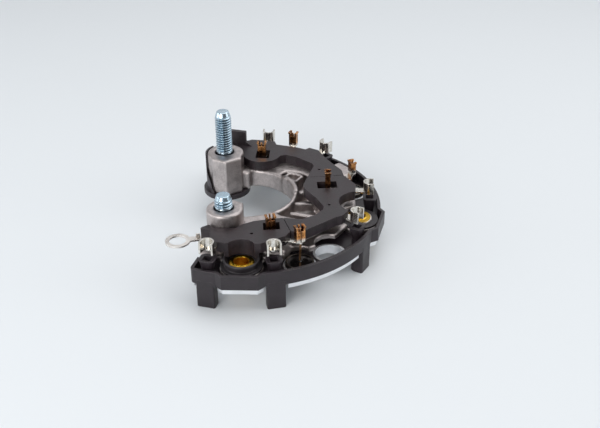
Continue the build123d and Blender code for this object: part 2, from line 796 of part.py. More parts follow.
for name, angle in mount_angles.items():
    with BuildPart() as bush:
        with Locations(polar(mount_radius, angle)):
            add(bush_form.part)
        if name == "near":
            with BuildSketch(Plane.XY.offset(bush_flange_top)):
                with Locations(polar(mount_radius, angle)):
                    Circle(bush_collar_radius)
                    Circle(washer_radius + slip_gap, mode=Mode.SUBTRACT)
            extrude(amount=bush_collar_height - bush_flange_thickness)
    bush.part.label = f"insulating_bush_{name}"
    with BuildPart() as washer:
        with Locations(polar(mount_radius, angle)):
            add(washer_form.part)
    washer.part.label = f"washer_{name}"
    with BuildPart() as rivet:
        with Locations(polar(mount_radius, angle)):
            add(rivet_form.part)
    rivet.part.label = f"hollow_rivet_{name}"
    for piece in (bush, washer, rivet):
        export_step(piece.part, f"parts/{piece.part.label}.step")


# Studs: a head under the boss, a knurled length in its hole and a threaded end
for name, axis, hole, reach in (
    ("long_stud", long_stud_axis, long_stud_hole, long_stud_reach),
    ("short_stud", short_stud_axis, short_stud_hole, short_stud_reach),
):
    with BuildPart() as stud:
        with BuildSketch(Plane.XZ):
            with BuildLine():
                Polyline(
                    (0, sink_bottom - stud_head_thickness),
                    (stud_head_radius, sink_bottom - stud_head_thickness),
                    (stud_head_radius, sink_bottom),
                    (hole - seat_gap, sink_bottom),
                    (hole - seat_gap, sink_bottom + knurl_length),
                    (stud_shank_radius, sink_bottom + knurl_length),
                    (stud_shank_radius, boss_top + thread_start),
                    (stud_radius, boss_top + thread_start),
                    (stud_radius, boss_top + reach - stud_tip_length),
                    (stud_tip_radius, boss_top + reach),
                    (0, boss_top + reach),
                    close=True,
                )
            make_face()
        revolve(axis=Axis.Z)
        fillet(edges().group_by(Axis.Z)[-1], radius=stud_tip_rounding)
    with BuildPart() as placed_stud:
        with Locations(axis):
            add(stud.part)
    placed_stud.part.label = name
    export_step(placed_stud.part, f"parts/{name}.step")


# Ring terminal: a flat eye whose neck is held in the near terminal plate
lug_turn = degrees(
    atan2(ring_terminal_end[1] - ring_terminal_centre[1], ring_terminal_end[0] - ring_terminal_centre[0])
)
with BuildPart() as ring_terminal:
    with BuildSketch(Plane.XY.offset(cover_bottom - sheet)):
        band([ring_terminal_centre, ring_terminal_end], ring_terminal_neck)
        with Locations(ring_terminal_centre):
            Circle(ring_terminal_radius)
            Circle(ring_terminal_hole, mode=Mode.SUBTRACT)
    extrude(amount=sheet)
    with BuildSketch(Plane.XY.offset(cover_bottom)):
        with Locations(Location((*lug_tab_place, 0), (0, 0, lug_turn))):
            Rectangle(lug_tab[0], lug_tab[1])
    extrude(amount=lug_tab[2])
ring_terminal.part.label = "ring_terminal"
export_step(ring_terminal.part, "parts/ring_terminal.step")
export_step(carrier.part, "parts/carrier.step")
export_step(negative_heat_sink.part, "parts/negative_heat_sink.step")
export_step(positive_heat_sink.part, "parts/positive_heat_sink.step")
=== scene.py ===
# %% [markdown]
# # Alternator rectifier
#
# A rectifier turns the three alternating phases of a car alternator into direct current. This one
# is a horseshoe of black moulded plastic on short legs. It carries a die-cast aluminium heat sink
# with two studs, a stamped heat sink under it, six press-fit diodes, three hollow rivets and one
# ring terminal.
#
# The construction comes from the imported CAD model, which is loaded here as a fixed frame. This
# script gives every piece its finish, makes the fine forms that the CAD leaves out, such as threads
# and knurls, and sets up the floor, the lights and the camera.

# %% Load the frame
import json
from math import pi, radians

import bmesh
import bpy
import numpy as np
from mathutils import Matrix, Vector


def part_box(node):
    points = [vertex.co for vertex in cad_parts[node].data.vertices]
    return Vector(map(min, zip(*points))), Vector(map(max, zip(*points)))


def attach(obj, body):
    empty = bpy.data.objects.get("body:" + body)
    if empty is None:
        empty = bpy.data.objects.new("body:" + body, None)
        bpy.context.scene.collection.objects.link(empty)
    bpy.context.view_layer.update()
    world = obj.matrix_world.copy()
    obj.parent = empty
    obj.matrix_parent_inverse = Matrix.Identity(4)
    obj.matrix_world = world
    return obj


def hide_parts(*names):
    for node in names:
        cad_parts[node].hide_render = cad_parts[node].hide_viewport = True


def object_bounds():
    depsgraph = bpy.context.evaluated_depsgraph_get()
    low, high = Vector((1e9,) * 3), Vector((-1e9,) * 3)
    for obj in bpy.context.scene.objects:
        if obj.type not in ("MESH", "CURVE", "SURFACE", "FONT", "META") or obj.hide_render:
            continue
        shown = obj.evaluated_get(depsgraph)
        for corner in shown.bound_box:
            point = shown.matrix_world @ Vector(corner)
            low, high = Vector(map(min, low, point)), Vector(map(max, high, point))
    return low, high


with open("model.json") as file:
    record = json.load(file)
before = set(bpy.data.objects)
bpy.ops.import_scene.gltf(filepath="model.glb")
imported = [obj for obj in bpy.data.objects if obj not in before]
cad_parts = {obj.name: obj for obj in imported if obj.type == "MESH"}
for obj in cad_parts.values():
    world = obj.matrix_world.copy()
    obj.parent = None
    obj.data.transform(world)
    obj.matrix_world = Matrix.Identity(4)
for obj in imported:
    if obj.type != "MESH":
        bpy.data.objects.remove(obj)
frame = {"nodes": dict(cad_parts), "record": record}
cad_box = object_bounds()
MM = 0.001
phases = ("near", "middle", "far")
cad_size = [round(side / MM, 1) for side in cad_box[1] - cad_box[0]]
print("CAD nodes:", len(frame["nodes"]), "size in mm:", cad_size)

# %% [markdown]
# ## Camera, floor and light
#
# The photograph was taken from the open side of the horseshoe, about thirty degrees above the
# table, with a lens of moderate length. The camera repeats that place and lens. A focal length in
# pixels is turned into one in millimetres by the width of the picture and of the sensor.

# %% Camera
photo_width, focal_pixels = 600, 800
sensor_width = 36.0
camera_place = Vector((110.0, -318.9, 208.0)) * MM
camera_tilt, camera_turn = radians(59.7), radians(15.0)
nearest_seen, farthest_seen = 0.01, 20.0

camera = bpy.data.objects.new("camera", bpy.data.cameras.new("camera"))
bpy.context.scene.collection.objects.link(camera)
camera.data.sensor_width = sensor_width
camera.data.lens = sensor_width * focal_pixels / photo_width
camera.data.clip_start, camera.data.clip_end = nearest_seen, farthest_seen
camera.location = camera_place
camera.rotation_euler = (camera_tilt, 0.0, camera_turn)
bpy.context.scene.camera = camera
bpy.context.scene.view_settings.view_transform = "Standard"
print("lens in mm:", camera.data.lens)

# %% [markdown]
# Two helpers serve every finish. A colour is written as it looks on a screen, from 0 to 255, but
# Blender reckons with amounts of light, so one helper converts it. The other adds a node and fills
# in its values in one line, which keeps a node tree as readable as a recipe.


# %% Helper: colour as the eye reads it
def seen(red, green, blue):
    """Linear colour of a screen colour of 0 to 255: each channel is undone by the sRGB curve."""
    channel = np.array([red, green, blue]) / 255
    linear = np.where(channel <= 0.04045, channel / 12.92, ((channel + 0.055) / 1.055) ** 2.4)
    return (*[float(x) for x in linear], 1.0)


# %% Helper: new node
def add_node(tree, kind, **values):
    """New node with its values. Each goes to the setting of that name, or else to the input.

    An input's name is written with _ for each space."""
    node = tree.nodes.new(kind)
    for key, value in values.items():
        if hasattr(node, key):
            setattr(node, key, value)
        else:
            node.inputs[key.replace("_", " ")].default_value = value
    return node


# %% [markdown]
# The table and the wall behind it are one sweep of pale paper in a studio. Here they are one flat
# floor, lit as paper is close to the part. Further away it turns into a plain backdrop that only
# the camera sees, and so does the world, so that no horizon shows in a low view. The light on the
# part stays as it is.

# %% Floor
floor_reach = 6.0
floor_colour, floor_roughness, floor_gloss = seen(228, 232, 235), 0.6, 0.2
backdrop_colour = seen(229, 233, 236)
fade_start, fade_end = 0.5, 1.1

floor_mesh = bpy.data.meshes.new("floor")
corners = [(-floor_reach, -floor_reach, 0), (floor_reach, -floor_reach, 0)]
corners += [(floor_reach, floor_reach, 0), (-floor_reach, floor_reach, 0)]
floor_mesh.from_pydata(corners, [], [(0, 1, 2, 3)])
floor = bpy.data.objects.new("floor", floor_mesh)
bpy.context.scene.collection.objects.link(floor)
floor_finish = bpy.data.materials.new("floor_paper")
floor_finish.use_nodes = True
floor_shader = floor_finish.node_tree.nodes["Principled BSDF"]
floor_shader.inputs["Base Color"].default_value = floor_colour
floor_shader.inputs["Roughness"].default_value = floor_roughness
floor_shader.inputs["Specular IOR Level"].default_value = floor_gloss
floor_tree = floor_finish.node_tree
place = add_node(floor_tree, "ShaderNodeTexCoord")
distance = add_node(floor_tree, "ShaderNodeVectorMath", operation="LENGTH")
fade = add_node(floor_tree, "ShaderNodeMapRange", From_Min=fade_start, From_Max=fade_end)
fade.interpolation_type = "SMOOTHSTEP"
ray = add_node(floor_tree, "ShaderNodeLightPath")
far_and_seen = add_node(floor_tree, "ShaderNodeMath", operation="MULTIPLY")
backdrop = add_node(floor_tree, "ShaderNodeEmission", Color=backdrop_colour)
blend = add_node(floor_tree, "ShaderNodeMixShader")
floor_tree.links.new(place.outputs["Object"], distance.inputs[0])
floor_tree.links.new(distance.outputs["Value"], fade.inputs["Value"])
floor_tree.links.new(fade.outputs["Result"], far_and_seen.inputs[0])
floor_tree.links.new(ray.outputs["Is Camera Ray"], far_and_seen.inputs[1])
floor_tree.links.new(far_and_seen.outputs["Value"], blend.inputs["Fac"])
floor_tree.links.new(floor_shader.outputs["BSDF"], blend.inputs[1])
floor_tree.links.new(backdrop.outputs["Emission"], blend.inputs[2])
floor_output = floor_tree.nodes["Material Output"]
floor_tree.links.new(blend.outputs["Shader"], floor_output.inputs["Surface"])
floor_mesh.materials.append(floor_finish)
print("the backdrop begins, in m from the part:", fade_start)

# %% [markdown]
# Soft boxes light the part as in a product studio. The widest hangs overhead and a little behind.
# One beside the camera brightens the faces on that side and draws streaks down the studs, and two
# weaker ones stand left and right.

# %% Lights
aim = Vector((0.0, 0.0, 0.02))


def soft_box(name, place, width, height, watts, colour=(1.0, 1.0, 1.0)):
    """Area lamp at a place, turned so that its face looks at the aim point."""
    lamp = bpy.data.lights.new(name, "AREA")
    lamp.shape = "RECTANGLE"
    lamp.size, lamp.size_y = width, height
    lamp.energy = watts
    lamp.color = colour
    box = bpy.data.objects.new(name, lamp)
    box.location = place
    box.rotation_euler = (aim - Vector(place)).to_track_quat("-Z", "Y").to_euler()
    bpy.context.scene.collection.objects.link(box)
    return box


cool, warm = (0.98, 0.99, 1.0), (1.0, 0.99, 0.98)
soft_box("overhead", place=(0.22, 0.28, 0.85), width=1.3, height=0.9, watts=4.9)
soft_box("left_window", place=(-0.78, -0.3, 0.28), width=0.6, height=0.5, watts=2.2, colour=cool)
soft_box("front_window", place=(-0.2, -0.9, 0.4), width=0.6, height=0.6, watts=5.9)
soft_box("right_window", place=(0.85, 0.1, 0.36), width=0.5, height=0.6, watts=1.6, colour=warm)
print("lamps:", len(bpy.data.lights))

# %% [markdown]
# Polished metal shows its surroundings, and only where some of them are dark do the roots of a
# thread and the folds of a clip stand out. So the world is bright behind the part and dim on the
# camera's side. The camera itself sees the colour of the backdrop there.

# %% Studio around the table
sky_colour = (0.94, 0.965, 1.0, 1.0)
dim, bright = 0.16, 0.68
back_way = (-0.3, 0.95, 0.0)
dim_until, bright_from = -0.35, 0.75

world = bpy.data.worlds.new("studio")
world.use_nodes = True
sky = world.node_tree.nodes["Background"]
sky.inputs["Color"].default_value = sky_colour
bpy.context.scene.world = world

# The strength runs from dim to bright with the share of a direction that points the way back.
sky_tree = world.node_tree
way = add_node(sky_tree, "ShaderNodeTexCoord")
back = add_node(sky_tree, "ShaderNodeVectorMath", operation="DOT_PRODUCT")
back.inputs[1].default_value = back_way
strength = add_node(sky_tree, "ShaderNodeMapRange", From_Min=dim_until, From_Max=bright_from)
strength.inputs["To Min"].default_value, strength.inputs["To Max"].default_value = dim, bright
ray = add_node(sky_tree, "ShaderNodeLightPath")
plain = add_node(sky_tree, "ShaderNodeBackground", Color=backdrop_colour)
blend = add_node(sky_tree, "ShaderNodeMixShader")
sky_tree.links.new(way.outputs["Generated"], back.inputs[0])
sky_tree.links.new(back.outputs["Value"], strength.inputs["Value"])
sky_tree.links.new(strength.outputs["Result"], sky.inputs["Strength"])
sky_tree.links.new(ray.outputs["Is Camera Ray"], blend.inputs["Fac"])
sky_tree.links.new(sky.outputs["Background"], blend.inputs[1])
sky_tree.links.new(plain.outputs["Background"], blend.inputs[2])
sky_output = sky_tree.nodes["World Output"]
sky_tree.links.new(blend.outputs["Shader"], sky_output.inputs["Surface"])
print("strength of the studio from", dim, "to", bright)

# %% [markdown]
# ## Finishes
#
# Every finish is a node material on Object coordinates, so its grain has a real size: a scale of
# 1000 repeats about once a millimetre. Four effects are shared, and each is a node group that is
# built once: a fine grain, rounded edges that are worn and lightened as a painted highlight, light
# rubbing marks, and the heat at the crimps.


# %% Helpers for node groups
def new_group(name, inputs, outputs):
    """Node group with float inputs and their defaults, and outputs of the given socket types."""
    group = bpy.data.node_groups.new(name, "ShaderNodeTree")
    for label, default in inputs.items():
        socket = group.interface.new_socket(label, in_out="INPUT", socket_type="NodeSocketFloat")
        socket.default_value = default
    for label, kind in outputs.items():
        group.interface.new_socket(label, in_out="OUTPUT", socket_type=kind)
    return group, group.nodes.new("NodeGroupInput"), group.nodes.new("NodeGroupOutput")


def place_group(tree, group, **values):
    """Node that places a group in a material, with its own values."""
    node = tree.nodes.new("ShaderNodeGroup")
    node.node_tree = group
    for key, value in values.items():
        node.inputs[key].default_value = value
    return node


# %% [markdown]
# Plastic and cast metal show a fine grain and, more softly, patches of a few millimetres. An image
# of a surface could show both, but noise has no seams and stays sharp from near by. So this group
# gives one noise of each size: the fine one serves the relief, and the coarse one the patches.

# %% Grain: two sizes of noise
a_number, a_direction = "NodeSocketFloat", "NodeSocketVector"
grain_fine, grain_coarse = 3000.0, 200.0

grain_inputs = {"Fine": grain_fine, "Coarse": grain_coarse}
grain, source, result = new_group("grain", grain_inputs, {"Height": a_number, "Patches": a_number})
place = add_node(grain, "ShaderNodeTexCoord")
fine = add_node(grain, "ShaderNodeTexNoise", Detail=4.0, Roughness=0.6)
coarse = add_node(grain, "ShaderNodeTexNoise", Detail=3.0, Roughness=0.55)
for label, noise in (("Fine", fine), ("Coarse", coarse)):
    grain.links.new(place.outputs["Object"], noise.inputs["Vector"])
    grain.links.new(source.outputs[label], noise.inputs["Scale"])
grain.links.new(fine.outputs["Fac"], result.inputs["Height"])
grain.links.new(coarse.outputs["Fac"], result.inputs["Patches"])

# %% [markdown]
# A real edge is never sharp, and it is rubbed first. Blender's Bevel node gives a normal that is
# rounded over a small radius, which costs no geometry. Where it differs from the flat one there is
# an edge, so one less the dot product of the two is a mask of the edges. The finishes paint the
# edges lighter with it, partly as rubbed wear and partly as a painted highlight.

# %% Edges: rounded normal, and a mask for worn edges and painted highlights
edge_radius, edge_sharpness = 0.0003, 6.0

edge_inputs = {"Radius": edge_radius, "Sharpness": edge_sharpness}
edges, source, result = new_group("edges", edge_inputs, {"Normal": a_direction, "Edge": a_number})
rounded = add_node(edges, "ShaderNodeBevel", samples=4)
surface = add_node(edges, "ShaderNodeNewGeometry")
likeness = add_node(edges, "ShaderNodeVectorMath", operation="DOT_PRODUCT")
difference = add_node(edges, "ShaderNodeMath", operation="SUBTRACT")
scaled = add_node(edges, "ShaderNodeMath", operation="MULTIPLY", use_clamp=True)
difference.inputs[0].default_value = 1.0
edges.links.new(source.outputs["Radius"], rounded.inputs["Radius"])
edges.links.new(rounded.outputs["Normal"], likeness.inputs[0])
edges.links.new(surface.outputs["Normal"], likeness.inputs[1])
edges.links.new(likeness.outputs["Value"], difference.inputs[1])
edges.links.new(difference.outputs["Value"], scaled.inputs[0])
edges.links.new(source.outputs["Sharpness"], scaled.inputs[1])
edges.links.new(rounded.outputs["Normal"], result.inputs["Normal"])
edges.links.new(scaled.outputs["Value"], result.inputs["Edge"])

# %% [markdown]
# Handling leaves fine marks that run in about one direction. They are a noise that is squeezed
# across that direction, and cut off so that only its peaks are left.

# %% Rubbing marks: the peaks of a long thin noise
marks_scale, marks_amount = 250.0, 0.3
streak_turn, streak_squeeze = (0.4, 0.2, 0.7), (1.0, 9.0, 3.0)
peak_start, peak_end = 0.58, 0.8

marks_inputs = {"Scale": marks_scale, "Amount": marks_amount}
marks, source, result = new_group("marks", marks_inputs, {"Marks": a_number})
place = add_node(marks, "ShaderNodeTexCoord")
stretch = add_node(marks, "ShaderNodeMapping")
stretch.inputs["Rotation"].default_value = streak_turn
stretch.inputs["Scale"].default_value = streak_squeeze
streaks = add_node(marks, "ShaderNodeTexNoise", Detail=6.0, Roughness=0.7)
peaks = add_node(marks, "ShaderNodeMapRange", From_Min=peak_start, From_Max=peak_end)
amount = add_node(marks, "ShaderNodeMath", operation="MULTIPLY", use_clamp=True)
marks.links.new(place.outputs["Object"], stretch.inputs["Vector"])
marks.links.new(stretch.outputs["Vector"], streaks.inputs["Vector"])
marks.links.new(source.outputs["Scale"], streaks.inputs["Scale"])
marks.links.new(streaks.outputs["Fac"], peaks.inputs["Value"])
marks.links.new(peaks.outputs["Result"], amount.inputs[0])
marks.links.new(source.outputs["Amount"], amount.inputs[1])
marks.links.new(amount.outputs["Value"], result.inputs["Marks"])

# %% [markdown]
# The strip is tinned, but the heat of welding the leads has turned the crimps copper brown. So the
# last group is a mask: one near the axis of any lead and above the strip, fading out over half a
# millimetre sideways. The distance to the nearest lead is the least of the six, taken in the plan
# alone.

# %% Heat: one inside a cylinder round any diode lead, above the foot of its crimp
polarities = ("positive", "negative")
lead_names = [f"{polarity}_diode_{phase}_lead" for polarity in polarities for phase in phases]
heat_reach, heat_fade = 2.9 * MM, 0.5 * MM
heat_floor, heat_full = 25.9 * MM, 27.5 * MM

heat, source, result = new_group("heat", {}, {"Heat": a_number})
place = add_node(heat, "ShaderNodeTexCoord")
level = add_node(heat, "ShaderNodeVectorMath", operation="MULTIPLY")
level.inputs[1].default_value = (1.0, 1.0, 0.0)
heat.links.new(place.outputs["Object"], level.inputs[0])
nearest = None
for name in lead_names:
    low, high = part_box(name)
    gap = add_node(heat, "ShaderNodeVectorMath", operation="DISTANCE")
    gap.inputs[1].default_value = ((low.x + high.x) / 2, (low.y + high.y) / 2, 0.0)
    heat.links.new(level.outputs["Vector"], gap.inputs[0])
    if nearest is None:
        nearest = gap.outputs["Value"]
    else:
        least = add_node(heat, "ShaderNodeMath", operation="MINIMUM")
        heat.links.new(nearest, least.inputs[0])
        heat.links.new(gap.outputs["Value"], least.inputs[1])
        nearest = least.outputs["Value"]
heat_end = heat_reach + heat_fade
inside = add_node(heat, "ShaderNodeMapRange", From_Min=heat_reach, From_Max=heat_end)
inside.inputs["To Min"].default_value, inside.inputs["To Max"].default_value = 1.0, 0.0
height = add_node(heat, "ShaderNodeSeparateXYZ")
above = add_node(heat, "ShaderNodeMapRange", From_Min=heat_floor, From_Max=heat_full)
both = add_node(heat, "ShaderNodeMath", operation="MULTIPLY", use_clamp=True)
heat.links.new(nearest, inside.inputs["Value"])
heat.links.new(place.outputs["Object"], height.inputs["Vector"])
heat.links.new(height.outputs["Z"], above.inputs["Value"])
heat.links.new(inside.outputs["Result"], both.inputs[0])
heat.links.new(above.outputs["Result"], both.inputs[1])
heat.links.new(both.outputs["Value"], result.inputs["Heat"])
print("groups:", [g.name for g in bpy.data.node_groups])


# %% [markdown]
# All the finishes have one build: a base colour that varies in patches and specks, a lighter or
# darker edge that is both rubbed wear and a painted highlight, rubbed marks, a roughness that
# follows the patches, and a bump from the grain on top of the rounded edges. A piece may carry its
# own attribute, painted_shade, that paints shade into the roots of a thread or flute. What sets one
# finish apart from another is its colours, its metal and the sizes of the effects.

# %% One build for all finishes
patches_low, patches_high = 0.35, 0.65
finishes = {}


def finish(
    name,
    dark,
    light,
    edge_wear_and_highlight,
    metallic=0.0,
    roughness=(0.45, 0.6),
    fine=grain_fine,
    coarse=grain_coarse,
    bump=0.00002,
    wave=0.0,
    speck=0.3,
    radius=edge_radius,
    edge_share=0.5,
    mark_amount=marks_amount,
    heated=None,
    painted_shade=None,
):
    """Material whose colour runs from dark to light with the patches, and to edge_wear_and_highlight
    at the edges, which is rubbed wear and a painted highlight.

    The share of light is the patches plus speck times the fine grain, spread over its middle
    third. The relief's height, in metres, is bump times the fine grain plus wave times the
    patches. A pair of heated colours replaces dark and light at the crimps, and the painted_shade
    colour is painted as shade where the painted_shade attribute is high, in the roots of grooves.
    The material is kept in finishes, under its name."""
    material = bpy.data.materials.new(name)
    material.use_nodes = True
    tree = material.node_tree
    shader = tree.nodes["Principled BSDF"]
    shader.inputs["Metallic"].default_value = metallic
    texture = place_group(tree, grain, Fine=fine, Coarse=coarse)
    rim = place_group(tree, edges, Radius=radius, Sharpness=edge_sharpness * edge_share)
    rubbed = place_group(tree, marks, Scale=marks_scale, Amount=mark_amount)
    mottle = add_node(tree, "ShaderNodeMath", operation="MULTIPLY_ADD")
    mottle.inputs[1].default_value = speck
    low, high = patches_low + speck / 2, patches_high + speck / 2
    contrast = add_node(tree, "ShaderNodeMapRange", From_Min=low, From_Max=high)
    body = add_node(tree, "ShaderNodeMix", data_type="RGBA")
    body.inputs["A"].default_value = dark
    body.inputs["B"].default_value = light
    # The edge colour stands for rubbed wear and for a painted highlight on the edge.
    wear_and_highlight = add_node(tree, "ShaderNodeMath", operation="MAXIMUM")
    edged = add_node(tree, "ShaderNodeMix", data_type="RGBA")
    edged.inputs["B"].default_value = edge_wear_and_highlight
    polish = add_node(tree, "ShaderNodeMapRange", To_Min=roughness[0], To_Max=roughness[1])
    skin = add_node(tree, "ShaderNodeMath", operation="MULTIPLY")
    skin.inputs[1].default_value = bump
    height = add_node(tree, "ShaderNodeMath", operation="MULTIPLY_ADD")
    height.inputs[1].default_value = wave
    relief = add_node(tree, "ShaderNodeBump", Strength=1.0, Distance=1.0)
    link = tree.links.new
    link(texture.outputs["Height"], mottle.inputs[0])
    link(texture.outputs["Patches"], mottle.inputs[2])
    link(mottle.outputs["Value"], contrast.inputs["Value"])
    link(contrast.outputs["Result"], body.inputs["Factor"])
    link(rim.outputs["Edge"], wear_and_highlight.inputs[0])
    link(rubbed.outputs["Marks"], wear_and_highlight.inputs[1])
    link(wear_and_highlight.outputs["Value"], edged.inputs["Factor"])
    colour = body.outputs["Result"]
    if heated:
        crimped = place_group(tree, heat)
        scale = add_node(tree, "ShaderNodeMix", data_type="RGBA")
        scale.inputs["A"].default_value, scale.inputs["B"].default_value = heated
        burnt = add_node(tree, "ShaderNodeMix", data_type="RGBA")
        link(contrast.outputs["Result"], scale.inputs["Factor"])
        link(scale.outputs["Result"], burnt.inputs["B"])
        link(crimped.outputs["Heat"], burnt.inputs["Factor"])
        link(colour, burnt.inputs["A"])
        colour = burnt.outputs["Result"]
    link(colour, edged.inputs["A"])
    colour = edged.outputs["Result"]
    # Painted shade: the painted_shade colour goes where the painted_shade attribute is high, in the
    # roots of threads, flutes and knurls.
    if painted_shade:
        root = add_node(tree, "ShaderNodeAttribute", attribute_name="painted_shade")
        sunk = add_node(tree, "ShaderNodeMix", data_type="RGBA")
        sunk.inputs["B"].default_value = painted_shade
        link(root.outputs["Fac"], sunk.inputs["Factor"])
        link(colour, sunk.inputs["A"])
        colour = sunk.outputs["Result"]
    link(colour, shader.inputs["Base Color"])
    link(contrast.outputs["Result"], polish.inputs["Value"])
    link(polish.outputs["Result"], shader.inputs["Roughness"])
    link(texture.outputs["Height"], skin.inputs[0])
    link(texture.outputs["Patches"], height.inputs[0])
    link(skin.outputs["Value"], height.inputs[2])
    link(height.outputs["Value"], relief.inputs["Height"])
    link(rim.outputs["Normal"], relief.inputs["Normal"])
    link(relief.outputs["Normal"], shader.inputs["Normal"])
    finishes[name] = material
    return material


# %% [markdown]
# The mouldings are glass-filled nylon, a near-black with a touch of violet. Its skin is dull,
# because the mould is etched and the fibres show through: a fine bump, coarser and specked on the
# covers.

# %% Moulded plastic
finish(
    "carrier_plastic",
    seen(35, 29, 33),
    seen(44, 37, 42),
    seen(88, 80, 85),
    roughness=(0.38, 0.5),
    fine=1800.0,
    bump=0.00003,
    wave=0.00002,
)
finish(
    "cover_plastic",
    seen(32, 25, 28),
    seen(50, 41, 45),
    seen(90, 81, 85),
    roughness=(0.4, 0.56),
    fine=1300.0,
    bump=0.00007,
    wave=0.00003,
    speck=0.9,
)
finish(
    "bush_plastic",
    seen(40, 36, 39),
    seen(50, 46, 49),
    seen(92, 88, 91),
    roughness=(0.42, 0.55),
)

# %% [markdown]
# The heat sink is die-cast and blasted: a warm grey with a sandy skin, whose rounded corners are
# painted much lighter, partly as rubbed wear and partly as a painted highlight. The plate under it
# is stamped from bright sheet and has hardly any grain.

# %% Aluminium
finish(
    "cast_aluminium",
    seen(165, 157, 155),
    seen(190, 182, 180),
    # Edge colour: rubbed wear and a painted highlight.
    seen(246, 242, 240),
    metallic=1.0,
    roughness=(0.34, 0.46),
    fine=1500.0,
    coarse=300.0,
    bump=0.00009,
    wave=0.00003,
    speck=0.9,
    radius=0.0006,
    edge_share=1.2,
    mark_amount=0.15,
)
finish(
    "stamped_aluminium",
    seen(238, 239, 242),
    seen(247, 248, 250),
    seen(253, 253, 254),
    metallic=1.0,
    roughness=(0.46, 0.56),
)

# %% [markdown]
# The studs have blue zinc plating, which is smooth; the roots of the thread are painted darker, as
# painted shade.
# Washers, ring terminal and strips are tinned. Tin on formed copper is mirror-like but wavy, and at
# the crimps it has burnt brown, in specks of two colours.

# %% Zinc and tin plating
finish(
    "zinc_steel",
    seen(178, 200, 214),
    seen(200, 218, 230),
    seen(242, 247, 250),
    metallic=1.0,
    roughness=(0.2, 0.28),
    coarse=90.0,
    bump=0.000003,
    radius=0.00008,
    edge_share=0.2,
    mark_amount=0.1,
    # Painted shade in the roots of the thread.
    painted_shade=seen(74, 98, 114),
)
finish(
    "tinned_steel",
    seen(222, 215, 208),
    seen(236, 231, 225),
    seen(249, 247, 243),
    metallic=1.0,
    roughness=(0.25, 0.38),
)
finish(
    "tinned_copper",
    seen(206, 201, 192),
    seen(234, 230, 223),
    seen(246, 240, 226),
    metallic=1.0,
    roughness=(0.13, 0.24),
    coarse=600.0,
    bump=0.000004,
    wave=0.00003,
    radius=0.0002,
    edge_share=0.15,
    mark_amount=0.15,
    heated=(seen(112, 70, 40), seen(224, 160, 98)),
)

# %% [markdown]
# The rivets are pressed brass, with shade painted into their flutes and over their flange. A
# diode's cup is dull nickel plating with shade painted into the gaps of its knurl, its resin is
# poured and glossy, and its lead is bare copper wire.

# %% Brass and the diodes' finishes
finish(
    "brass",
    seen(222, 172, 44),
    seen(242, 198, 72),
    seen(252, 226, 140),
    metallic=1.0,
    roughness=(0.22, 0.34),
    bump=0.00001,
    radius=0.0002,
    edge_share=0.3,
    mark_amount=0.1,
    # Painted shade in the flutes and over the flange.
    painted_shade=seen(104, 84, 40),
)
finish(
    "diode_cup",
    seen(74, 68, 64),
    seen(100, 94, 88),
    seen(214, 205, 194),
    metallic=1.0,
    roughness=(0.3, 0.42),
    radius=0.0002,
    # Painted shade in the gaps of the knurl.
    painted_shade=seen(40, 37, 35),
)
finish(
    "diode_resin",
    seen(10, 9, 9),
    seen(16, 14, 14),
    seen(22, 20, 20),
    roughness=(0.1, 0.16),
    bump=0.000004,
    mark_amount=0.1,
)
finish(
    "diode_lead",
    seen(186, 138, 96),
    seen(214, 168, 124),
    seen(236, 206, 170),
    metallic=1.0,
    roughness=(0.25, 0.4),
    bump=0.00001,
    radius=0.0002,
)

# %% [markdown]
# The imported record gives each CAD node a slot. A node that stays gets the finish of its slot here,
# and a new piece, further down, gets the finish of the node that it stands for.

# %% Finishes on the CAD nodes
slots = {part["node"]: part["material_slot"] for part in frame["record"]["subparts"]}
for node_name, slot in slots.items():
    node = frame["nodes"][node_name]
    node.data.materials.clear()
    node.data.materials.append(finishes[slot])
print("finishes:", len(finishes))

# %% [markdown]
# ## The casting
#
# A die-cast piece has no sharp edges: the melt rounds every corner by about half a millimetre, and
# the blasted skin is sandy. A bevel on every edge would fail where many small faces meet, so the
# solid is rebuilt instead: a copy is merged, remade on a fine even grid of cells, and smoothed, so
# that its corners become round and its faces stay flat.

# %% Rounded casting
cell = 0.55 * MM
smoothing_turns, smoothing_share = 5, 0.5
merge_distance = 0.002 * MM


def rounded_copy(node_name, name, size, turns):
    """Copy of a CAD node with rounded corners, rebuilt on cells of the given size.

    In each turn of smoothing a point moves halfway to the mean of its neighbours."""
    source_mesh = frame["nodes"][node_name].data
    mesh = bpy.data.meshes.new(name)
    form = bmesh.new()
    form.from_mesh(source_mesh)
    bmesh.ops.remove_doubles(form, verts=form.verts, dist=merge_distance)
    form.to_mesh(mesh)
    form.free()
    piece = bpy.data.objects.new(name, mesh)
    bpy.context.scene.collection.objects.link(piece)
    grid = piece.modifiers.new("grid", "REMESH")
    grid.mode = "VOXEL"
    grid.voxel_size = size
    grid.use_smooth_shade = True
    ease = piece.modifiers.new("ease", "SMOOTH")
    ease.factor, ease.iterations = smoothing_share, turns
    shaped = piece.evaluated_get(bpy.context.evaluated_depsgraph_get())
    settled = bpy.data.meshes.new_from_object(shaped)
    piece.modifiers.clear()
    piece.data = settled
    settled.name = name
    settled.materials.clear()
    settled.materials.append(finishes[slots[node_name]])
    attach(piece, "root")
    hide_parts(node_name)
    return piece


casting = rounded_copy("positive_heat_sink", "heat_sink_cast", cell, smoothing_turns)

# %% [markdown]
# ## Turned pieces with a thread or a knurl
#
# A turned piece is a surface of two parameters: the way along its outline and the angle about its
# axis. A helper carries the outline round. It closes both ends with a point on the axis, or, for a
# hollow piece, joins the end of the outline to its start. A thread or a knurl comes in as a radius
# that also depends on the angle.

# %% Helper: turned surface
sharp_angle = radians(35)


